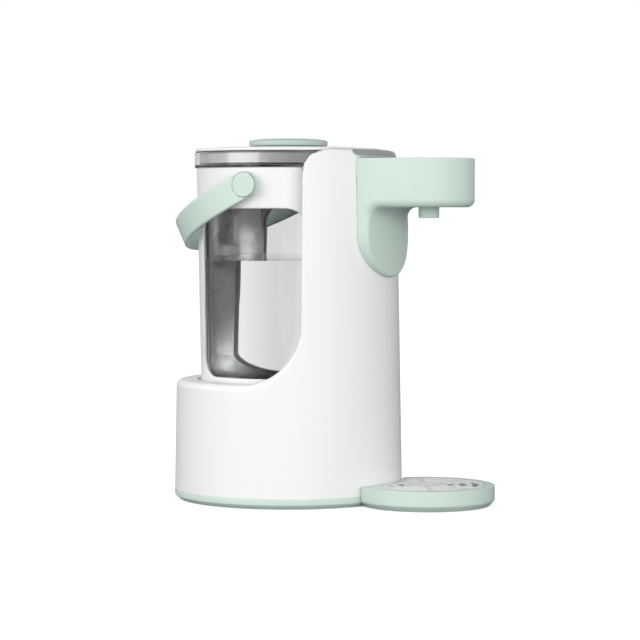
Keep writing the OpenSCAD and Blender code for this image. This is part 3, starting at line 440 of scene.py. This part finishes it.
def outside(x, y, z):
    """The tub and the column, with a crisp top edge that turns into a wide rounding above the arm."""
    rim_z, side_z, rim_rounding, side_rounding = 92, 124, 5.0, 1.4
    low_z, high_z, column_x, crisp, wide = 225, 245, 45, 0.5, 6.2
    side = fade(z, side_z, rim_z, side_rounding, rim_rounding)
    top = crisp + (wide - crisp) * over_arm(y)
    share = fade(z, low_z, high_z) * (x > column_x)
    return meet(skin(x, y, z), column_side(x, z), side + (top - side) * share)


def housing(x, y, z):
    """The white moulding, hollow, with room for the well, the arm's root and the power inlet."""
    rounding, inner_rounding = 0.5, 0.4
    cap_seat = np.maximum(EDGE + CORNER - x, CAP_SEAT_Z - z)
    hollow = np.maximum(skin(x, y, z) + SKIN, np.minimum(column_side(x, z, SKIN, NO_TOP), cap_seat))
    body = meet(outside(x, y, z), -hollow, inner_rounding)
    body = meet(body, WELL_R - reach(x, y), rounding)
    body = meet(body, SEAM - TUCK - z, inner_rounding)
    root_x, root_half_width, root_z, root_half_height = 60, 28, 239.7, 12.1
    root = np.maximum(abs(y) - root_half_width, abs(z - root_z) - root_half_height)
    body = np.maximum(body, -np.maximum(root, root_x - x))
    inlet_x, inlet_half_width, inlet_z, inlet_half_height, inlet_corner = -60, 13.7, 29, 9.7, 1.5
    inlet = meet(abs(y) - inlet_half_width, abs(z - inlet_z) - inlet_half_height, inlet_corner)
    return meet(body, -np.maximum(inlet, x - inlet_x), rounding)


def top_plate(x, y, z):
    """The grey plate on the column's top, with a skirt at its rear and a deeper edge over the arm, where it
    comes out over the rounding as a grey sheet that stands for shade.
    """
    proud, rounding, low_rounding = 0.4, 0.3, 0.2
    # Over the arm the plate reaches out to the rounding and down it: a grey sheet put where the white only
    # lies in shade
    inset, inset_over_arm = 2.7, 0.4
    depth, depth_over_arm, skirt_depth = 2.4, 5.8, 5.6
    skirt_front, skirt_back = EDGE + 18, EDGE + 6
    over = over_arm(y)
    side = skin(x, y, z) + inset - (inset - inset_over_arm) * over
    plate = np.maximum(side, outside(x, y, z - proud))
    skirt = fade(x, skirt_front, skirt_back, 0.0, skirt_depth)
    low = TOP - depth - (depth_over_arm - depth) * over - skirt
    plate = meet(plate, low - z, low_rounding)
    plate = meet(plate, column_side(x, z, inset, NO_TOP), rounding)
    return meet(plate, WELL_LINER_R - reach(x, y), rounding)


# Arm
ARM_R, SPOUT = 36.0, 115.0              # the round end's radius and where its middle stands
NOZZLE = 117.3                          # where the nozzle hangs
ARM_LOW, ARM_TOP = 221.6, 257.8
SHIELD_TURN, SHIELD_H = 200.5, 31.0     # where the shield starts to narrow and how much further it goes
SHIELD_X, SHIELD_R = -69.5, 158.0       # the middle and radius of the shield's front
NOT_ZERO, LEAST_STEEP = 1e-6, 0.02      # keep the divisions in the shield's outline away from zero


def arm(x, y, z):
    """The mint arm with its round end, the shield below it and the room inside."""
    neck_filling, top_rounding, inner_rounding = 8, 1.1, 0.4
    shield_z, arm_z, shield_rounding, arm_rounding = 206, 222, 2.2, 5.8
    body_gap, body_rounding = 0.1, 0.25
    ledge, ledge_z, wall, ceiling_z, nozzle_seat = 2.4, 255.6, 3.9, 225.0, 7.9
    plan = np.where(x < SPOUT, abs(y) - ARM_R, reach(x - SPOUT, y) - ARM_R)
    down = np.maximum(SHIELD_TURN - z, 0)
    ellipse = reach(y / ARM_R, down / SHIELD_H) + NOT_ZERO
    steep = reach(y / ARM_R ** 2, down / SHIELD_H ** 2) / ellipse
    outline = np.where(z > SHIELD_TURN, plan, (ellipse - 1) / np.maximum(steep, LEAST_STEEP))
    under = join(ARM_LOW - z, reach(x - SHIELD_X, y) - SHIELD_R, neck_filling)
    body = meet(outline, under, fade(z, shield_z, arm_z, shield_rounding, arm_rounding))
    body = meet(body, z - ARM_TOP, top_rounding)
    body = meet(body, -skin(x, y, z) - body_gap, body_rounding)
    cover_seat = np.maximum(plan + ledge, ledge_z - z)
    room = np.maximum(plan + wall, ceiling_z - z)
    body = meet(body, -np.minimum(cover_seat, room), inner_rounding)
    return np.maximum(body, nozzle_seat - reach(x - NOZZLE, y))


# Jug
JUG_LOW, JUG_TOP = 80.0, 251.2
JUG_R, JUG_FLARE = 66.4, 3.4            # the radius at the foot and what it gains up to the top
JUG_WALL, SLEEVE_GAP, SLEEVE_WALL, GLASS_GAP, GLASS_WALL = 3.0, 0.2, 0.6, 0.4, 2.6
WINDOW_R = 68.0                         # the windows' ends are set by angles on this radius
WINDOW_BACK, WINDOW_FRONT = -WINDOW_R * cos(radians(47.8)), WINDOW_R * cos(radians(50))
WINDOW_MIDDLE, WINDOW_HALF, WINDOW_CORNER = 157.6, 63.0, 15.0
PIVOT_X, PIVOT_Z = 2.5, 238.2           # the handle's pivot
TILT = radians(26)                      # how far the handle hangs below the level at rest


def jug_radius(z):
    """The jug frame's outer radius."""
    return JUG_R + JUG_FLARE / (JUG_TOP - JUG_LOW) * (z - JUG_LOW)


def jug_wall(x, y, z):
    """The white frame with its collar and two windows."""
    top_rounding, low_rounding, inner_rounding, window_rounding = 0.9, 0.4, 0.6, 1.0
    window_y, pin_hole = 36, 4.2
    radius = jug_radius(z)
    wall = meet(reach(x, y) - radius, z - JUG_TOP, top_rounding)
    wall = meet(wall, JUG_LOW - z, low_rounding)
    wall = meet(wall, radius - JUG_WALL - reach(x, y), inner_rounding)
    along = abs(x - (WINDOW_BACK + WINDOW_FRONT) / 2) - (WINDOW_FRONT - WINDOW_BACK) / 2
    window = meet(along, abs(z - WINDOW_MIDDLE) - WINDOW_HALF, WINDOW_CORNER)
    wall = meet(wall, -np.maximum(window, window_y - abs(y)), window_rounding)
    return np.maximum(wall, pin_hole - reach(x - PIVOT_X, z - PIVOT_Z))


STRAP_STRAIGHT, STRAP_BEND = 17.5, 74.45    # from the pivot to the strap's bend, and the bend's radius
STRAP_HALF_WIDTH, STRAP_HALF_WALL = 10.0, 2.25
CAP_R, CAP_Y, CAP_HALF = 9.1, 76.4, 0.89    # a cap's radius, its place at the side and half its depth


def along_strap(x, z):
    """How far along the strap and how far across it, from the pivot."""
    along = -(x - PIVOT_X) * cos(TILT) - (z - PIVOT_Z) * sin(TILT)
    across = -(x - PIVOT_X) * sin(TILT) + (z - PIVOT_Z) * cos(TILT)
    return along, across


def strap(x, y, z):
    """The handle: a bent strap with round ends, seats for its caps and holes for its pins."""
    rounding, seat_rounding, seat_r, seat_y, pin_hole = 1.3, 0.25, 9.15, 75.5, 4.05
    along, across = along_strap(x, z)
    side = np.where(along < STRAP_STRAIGHT, abs(y), reach(along - STRAP_STRAIGHT, y)) - STRAP_BEND
    width = np.where(along < 0, reach(along, across), abs(across)) - STRAP_HALF_WIDTH
    band = meet(abs(side) - STRAP_HALF_WALL, width, rounding)
    cap_seat = np.maximum(reach(along, across) - seat_r, seat_y - abs(y))
    band = meet(band, -cap_seat, seat_rounding)
    return np.maximum(band, pin_hole - reach(along, across))


def caps(x, y, z):
    """The round caps over the handle's two pins."""
    rounding = 0.5
    along, across = along_strap(x, z)
    return meet(reach(along, across) - CAP_R, abs(abs(y) - CAP_Y) - CAP_HALF, rounding)


# Drip tray
TRAY_R, TRAY_LOW, TRAY_TOP = 51.5, 0.4, 15.5
TRAY_BACK = 87.4                        # the radius about the body's axis that the tray's back follows
TRAY_CHAMFER, DIAGONAL = 4.3, 0.7071    # the lower edge's chamfer, and the sine of its 45 degrees
GRILLE_R, GRILLE_MIDDLE, GRILLE_HALF = 43.7, 14.1, 1.4
SLOT_RADII, SLOT_HALF = (18.5, 28, 37.5), 2.4
SPOKE_TURN, SPOKE_HALF = 60, 2          # degrees from spoke to spoke, and half a spoke's width


def tray_plan(x, y):
    """The distance from the tray's middle, and from the curve of its back, negative in the tray."""
    return reach(x - SPOUT, y), TRAY_BACK - reach(x, y)


def tray(x, y, z):
    """The tray with a chamfered foot, its bowl and a ledge for the grille."""
    rounding, low_rounding, back_rounding, inner_rounding = 0.6, 0.3, 0.8, 0.4
    bowl_r, bowl_back, bowl_corner, bowl_floor, floor_rounding = 42, 5, 3, 3.7, 2.5
    ledge_r, ledge_back, ledge_corner, ledge_z = 44, 3, 1.5, 12.4
    far, back = tray_plan(x, y)
    body = meet(far - TRAY_R, z - TRAY_TOP, rounding)
    body = meet(body, (far - TRAY_R + TRAY_CHAMFER - z) * DIAGONAL, rounding)
    body = meet(body, TRAY_LOW - z, low_rounding)
    body = meet(body, back, back_rounding)
    bowl = meet(meet(far - bowl_r, back + bowl_back, bowl_corner), bowl_floor - z, floor_rounding)
    ledge = np.maximum(meet(far - ledge_r, back + ledge_back, ledge_corner), ledge_z - z)
    return meet(body, -np.minimum(bowl, ledge), inner_rounding)


def grille(x, y, z):
    """The pale grille: rings of slots between six spokes, in a face a little below its border."""
    border_back, corner, rounding = 3.3, 1.5, 0.5
    face_r, face_back, face_z, face_rounding = 41, 6, 14.3, 0.3
    slots_back, slot_corner, slot_rounding, middle_hole = 8, 1.2, 0.25, 5
    far, back = tray_plan(x, y)
    plate = meet(far - GRILLE_R, back + border_back, corner)
    plate = meet(plate, abs(z - GRILLE_MIDDLE) - GRILLE_HALF, rounding)
    sunk = np.maximum(np.maximum(far - face_r, back + face_back), z - face_z)
    plate = meet(plate, -sunk, face_rounding)
    turn = np.degrees(np.arctan2(y, x - SPOUT))
    from_spoke = abs((turn + SPOKE_TURN / 2) % SPOKE_TURN - SPOKE_TURN / 2)
    beside_spoke = SPOKE_HALF - far * np.sin(np.radians(from_spoke))
    for radius in SLOT_RADII:
        slot = meet(abs(far - radius) - SLOT_HALF, beside_spoke, slot_corner)
        plate = meet(plate, -np.maximum(slot, back + slots_back), slot_rounding)
    return meet(plate, middle_hole - far, rounding)


# Each is meshed on a grid between two corners
solid("white_body_shell", housing, (-87, -87, 7), (87, 87, 266), cell=1.5,
      look=SHELL_PAINTED_SHADE, node="main_housing")
solid("mint_arm_shell", arm, (60, -36, 168), (151, 36, 258), cell=0.9,
      look=MINT, node="arm_housing")
solid("column_top_plate", top_plate, (44, -72, 255), (84, 72, 264.9), cell=0.5,
      look=GREY, node="column_cap")
solid("jug_white_wall", jug_wall, (-70, -70, 79), (70, 70, 252), cell=1.3,
      look=WHITE, node="jug_frame")
solid("strap_handle", strap, (-90, -78, 184), (14, 78, 252), cell=1.1,
      look=MINT, node="handle")
solid("strap_caps", caps, (-7, -79, 229), (12, 79, 248), cell=0.7,
      look=MINT, node="handle_caps")
solid("drip_tray_dish", tray, (63, -52, 0), (167, 52, 16), cell=0.9,
      look=MINT, node="drip_tray")
solid("drip_tray_grille", grille, (70, -44, 12), (160, 44, 16), cell=0.6,
      look=PALE, node="tray_grille")


# Turned pieces
BESIDE = 0.2                            # a ring this far from a rounding keeps the flat's shading true
LID_LOW, LID_TOP, LID_R = 263.5, 267.3, 70.7
LID_CROWN = ((64, 1.2), (56, 0.7), (45, 0.3), (30, 0))      # radius, and how far below the lid's top
SCREW_HOLE = 1.75


def lid_knob():
    """The mint knob: a disc on a smaller foot, with a slightly crowned top."""
    foot, foot_rise, under_r, under_rise = 22, 0.5, 27.2, 0.6
    edge, rounding, low_rise, high_rise = 28.2, 1.7, 2.2, 3.4
    crown = ((24, 5.7), (18, 6.1), (9, 6.35), (0, 6.4))
    outline = [(0, LID_TOP), (foot, LID_TOP), (foot, LID_TOP + foot_rise), (under_r, LID_TOP + under_rise)]
    outline += arc(edge, LID_TOP + low_rise, rounding, -65, 0, 4)
    outline += arc(edge, LID_TOP + high_rise, rounding, 0, 74, 6)
    outline += [(radius, LID_TOP + rise) for radius, rise in crown]
    lathe("knob_disc", outline, MINT_DEEP, "lid_knob", closed=False)


def lid_plate():
    """The white plate of the lid, crowned towards the knob."""
    low_rounding, top_rounding, side_top = 0.7, 1.2, 264.6
    outline = [(SCREW_HOLE, LID_LOW), (LID_R - low_rounding - BESIDE, LID_LOW)]
    outline += arc(LID_R - low_rounding, LID_LOW + low_rounding, low_rounding, -90, 0, 4)
    outline += arc(LID_R - top_rounding, side_top, top_rounding, 0, 80, 5)
    outline += [(radius, LID_TOP - drop) for radius, drop in LID_CROWN] + [(SCREW_HOLE, LID_TOP)]
    lathe("lid_plate", outline, WHITE, "lid_cover")


CUP_R, CUP_WALL, CUP_FLOOR, CUP_TOP = 67.6, 0.8, 254.5, 263.4


def lid_cup():
    """The lid's steel cup, whose wall is the band that shows under the plate."""
    rounding, inner_rounding, beside = 0.7, 1.3, 0.3
    bead, step_r, bead_r = 0.4, 65.6, 66.6
    inner_r, inner_z = CUP_R - CUP_WALL, CUP_FLOOR + CUP_WALL + inner_rounding
    side_low = CUP_FLOOR - bead + rounding
    outline = [(0, CUP_FLOOR), (step_r, CUP_FLOOR), (bead_r, CUP_FLOOR - bead)]
    outline += arc(CUP_R - rounding, side_low, rounding, -90, 0, 4)
    outline += [(CUP_R, side_low + beside), (CUP_R, CUP_TOP), (inner_r, CUP_TOP), (inner_r, inner_z)]
    outline += arc(inner_r - inner_rounding, inner_z, inner_rounding, 0, -90, 4)
    outline += [(0, CUP_FLOOR + CUP_WALL)]
    lathe("lid_steel_band", outline, BRUSHED, "lid_cup", closed=False)


def lid_gasket():
    """The thin black gasket between the band and the plate."""
    gap, bevel, lip = 0.05, 0.2, 0.7
    inner, outer, low, top = CUP_R + gap, 68.4, 261.9, LID_LOW - gap
    outline = [(inner, low), (outer - bevel, low + bevel), (outer, low + lip), (outer, top), (inner, top)]
    lathe("lid_gasket", outline, RUBBER, body="lid")


def foot_ring():
    """The mint foot: its ring with a chamfer below, the lip inside the shell and the bottom plate."""
    ring_r, low, rounding, seam_rounding = 86.9, 0.4, 0.7, 0.15
    lip_r, lip_wall, lip_top, floor_top = 84.1, 2.0, 12.2, 4.2
    chamfer_r, chamfer_top = 83.1, 3.8
    outline = [(0, low), (chamfer_r - BESIDE, low)]
    outline += arc(chamfer_r, low + rounding, rounding, -90, -45, 3)
    outline += arc(ring_r - rounding, chamfer_top, rounding, -45, 0, 3)
    outline += arc(ring_r - seam_rounding, SEAM - seam_rounding, seam_rounding, 0, 90, 2)
    outline += [(lip_r, SEAM), (lip_r, lip_top), (lip_r - lip_wall, lip_top)]
    outline += [(lip_r - lip_wall, floor_top), (0, floor_top)]
    lathe("foot_ring", outline, MINT, "base_plate", closed=False)


VESSEL_LOW, VESSEL_STEP, SMOOTH_SEGMENTS = 89.6, 250.9, 200
MOUTH_R, MOUTH_LOW, MOUTH_FLOOR, MOUTH_TOP = 71.2, 251.4, 252.6, 263.2


def glass_inside(z):
    """The glass wall's inner radius."""
    return jug_radius(z) - JUG_WALL - SLEEVE_GAP - SLEEVE_WALL - GLASS_GAP - GLASS_WALL


def glass_wall():
    """The vessel's wall with the wider mouth that the lid sits in."""
    rounding, step_rounding, flare = 0.8, 1.0, 0.5
    inner, half, mouth_inner = glass_inside(JUG_TOP), GLASS_WALL / 2, MOUTH_R - GLASS_WALL
    outline = [(glass_inside(VESSEL_LOW), VESSEL_LOW), (glass_inside(VESSEL_LOW) + GLASS_WALL, VESSEL_LOW)]
    outline += [(inner + GLASS_WALL, VESSEL_STEP), (inner + GLASS_WALL + flare, MOUTH_LOW)]
    outline += arc(MOUTH_R - rounding, MOUTH_LOW + rounding, rounding, -90, 0, 4)
    outline += [(MOUTH_R, MOUTH_LOW + rounding + BESIDE), (MOUTH_R, MOUTH_TOP - half - BESIDE)]
    outline += arc(MOUTH_R - half, MOUTH_TOP - half, half, 0, 180, 10)
    step_z = MOUTH_FLOOR + step_rounding
    outline += [(mouth_inner, MOUTH_TOP - half - BESIDE), (mouth_inner, step_z + BESIDE)]
    outline += arc(mouth_inner - step_rounding, step_z, step_rounding, 0, -90, 4)
    outline += arc(inner + step_rounding, MOUTH_FLOOR - step_rounding, step_rounding, 90, 180, 4)
    lathe("glass_wall", outline, GLASS, "glass_vessel", segments=SMOOTH_SEGMENTS)


def water_fill():
    """The water in the jug, which reaches a hair into the glass."""
    low, top, overlap = 88.6, 182.0, 0.05
    low_r, top_r = glass_inside(VESSEL_LOW + 0.4) + overlap, glass_inside(top) + overlap
    outline = [(0, low), (low_r, low), (top_r, top), (0, top)]
    lathe("water_fill", outline, WATER, body="jug", segments=SMOOTH_SEGMENTS, closed=False)


def nozzle_spout():
    """The short nozzle under the arm."""
    bore, radius, rounding, low, top = 4.0, 7.7, 1.2, 213.7, 224.2
    outline = [(bore, low)] + arc(radius - rounding, low + rounding, rounding, -90, 0, 5)
    lathe("nozzle_spout", outline + [(radius, top), (bore, top)], MINT, "nozzle", centre_x=NOZZLE)


lid_knob()
lid_plate()
lid_cup()
lid_gasket()
foot_ring()
glass_wall()
water_fill()
nozzle_spout()


# Camera: places in metres, lens and sensor in millimetres
VIEW = radians(27.5)                    # how far round from the side towards the front the camera stands
DISTANCE, EYE, LENS, SENSOR = 1.87, 0.2205, 137.8, 36
YAW, PITCH = radians(0.737), radians(2.6)
camera_data = bpy.data.cameras.new("camera")
camera_data.lens = LENS
camera_data.sensor_width = SENSOR
camera = bpy.data.objects.new("camera", camera_data)
bpy.context.collection.objects.link(camera)
camera.location = (AXIS_X * MM + DISTANCE * sin(VIEW), -DISTANCE * cos(VIEW), EYE)
camera.rotation_euler = (pi / 2 - PITCH, 0, VIEW - YAW)
bpy.context.scene.camera = camera


# Lamps, in metres and watts
LAMP_DISTANCE, LAMP_AIM = 1.9, Vector((0, 0, 0.14))


def around(azimuth):
    """The level direction at an azimuth in degrees, counted from the camera's, to the right."""
    turn = VIEW + radians(azimuth)
    return Vector((sin(turn), -cos(turn), 0))


def lamp(name, azimuth, elevation, size, power):
    """A soft box that faces the object."""
    light = bpy.data.lights.new(name, "AREA")
    light.shape = "RECTANGLE"
    light.size, light.size_y = size
    light.energy = power
    box = bpy.data.objects.new(name, light)
    bpy.context.collection.objects.link(box)
    rise = radians(elevation)
    away = LAMP_DISTANCE * (cos(rise) * around(azimuth) + Vector((0, 0, sin(rise))))
    box.location = LAMP_AIM + away
    box.rotation_euler = away.to_track_quat("Z", "Y").to_euler()
    return box


lamp("key", azimuth=-58, elevation=18, size=(1.5, 1.3), power=10.3)
fill = lamp("fill", azimuth=22, elevation=8, size=(1.4, 0.8), power=13.5)
fill.visible_glossy = fill.visible_transmission = False


# Surroundings
def toward(nodes, direction, azimuth, start, end, low, high):
    """Grades from low to high while a direction turns towards an azimuth counted from the camera's."""
    dot = nodes.add("VectorMath", direction, around(azimuth), operation="DOT_PRODUCT")
    return nodes.grade(dot.outputs["Value"], low, high, start, end)


def behind_glass(nodes, direction, rest):
    """What the glass lets through: a backdrop behind the object, dimmer at the left, and rest elsewhere."""
    backdrop = toward(nodes, direction, 90, start=0.02, end=0.32, low=0.71, high=0.97)
    return toward(nodes, direction, 180, start=0.5, end=0.8, low=rest, high=backdrop)


# How bright the room looks in shiny things, by the share of a turn round it
END = 0.4
ROOM = ((0, END), (0.03, 0.55), (0.08, 1.1), (0.22, 1.1), (0.29, 0.8), (0.35, 0.85), (0.42, 0.65), (1, END))
ROOM_TURN = radians(48)
LEVEL_LIGHT, TOP_LIGHT = 1.4, 0.4       # the light on dull things from the side and from straight above


def surroundings():
    """White to the camera, a bright soft box at the left in reflections, and soft light on dull things."""
    world = bpy.data.worlds.new("studio")
    bpy.context.scene.world = world
    world.use_nodes = True
    nodes = Nodes(world.node_tree)
    way = nodes.add("TexCoord").outputs["Generated"]
    turned = nodes.add("Mapping", Vector=way, Rotation=(0, 0, ROOM_TURN - VIEW)).outputs["Vector"]
    round_room = nodes.add("TexGradient", Vector=turned, gradient_type="RADIAL").outputs["Fac"]
    walls = nodes.ramp(round_room, [(position, (grey, grey, grey, 1)) for position, grey in ROOM])
    height = nodes.grade(nodes.add("SeparateXYZ", way).outputs["Z"], LEVEL_LIGHT, TOP_LIGHT)
    shadow_side = toward(nodes, way, 126, start=0.1, end=0.9, low=1.0, high=0.22)
    even = nodes.calculate("MULTIPLY", height, shadow_side)
    shine = nodes.grade(nodes.ray("Is Glossy Ray"), even, walls)
    through = nodes.grade(nodes.ray("Is Transmission Ray"), shine, behind_glass(nodes, way, walls))
    background = nodes.tree.nodes["Background"].inputs
    nodes.fill(background["Color"], (1, 1, 1, 1))
    nodes.fill(background["Strength"], nodes.grade(nodes.ray("Is Camera Ray"), through, 1.0))


def floor_look():
    """White to the camera, with the object's shadow, and dim in what it throws back at the object."""
    look = Look("floor_white")
    seen = look.ray("Is Camera Ray")
    bounce = look.grade(look.ray("Is Diffuse Ray"), 0.04, 0.34)
    outwards = look.add("VectorMath", look.place, operation="NORMALIZE").outputs["Vector"]
    backdrop = look.calculate("ADD", behind_glass(look, outwards, -0.03), 0.05)
    glow = look.grade(look.ray("Is Transmission Ray"), 0.0, backdrop)
    return look.finish(Base_Color=look.grade(seen, bounce, 0.9), Roughness=0.9, Specular_IOR_Level=0.0,
                       Emission_Color=(1, 1, 1, 1), Emission_Strength=look.grade(seen, glow, 0.55))


def studio_floor():
    """A wide round floor."""
    metres = 40.0
    bm = bmesh.new()
    bmesh.ops.create_circle(bm, cap_ends=True, cap_tris=False, radius=metres, segments=96)
    mesh = bpy.data.meshes.new("floor")
    bm.to_mesh(mesh)
    bm.free()
    mesh.materials.append(floor_look())
    floor = bpy.data.objects.new("floor", mesh)
    bpy.context.collection.objects.link(floor)


surroundings()
studio_floor()


# Rendering
scene = bpy.context.scene
scene.view_settings.view_transform = "Standard"
scene.cycles.max_bounces = 28
scene.cycles.glossy_bounces = 8
scene.cycles.transmission_bounces = 24
scene.cycles.transparent_max_bounces = 24
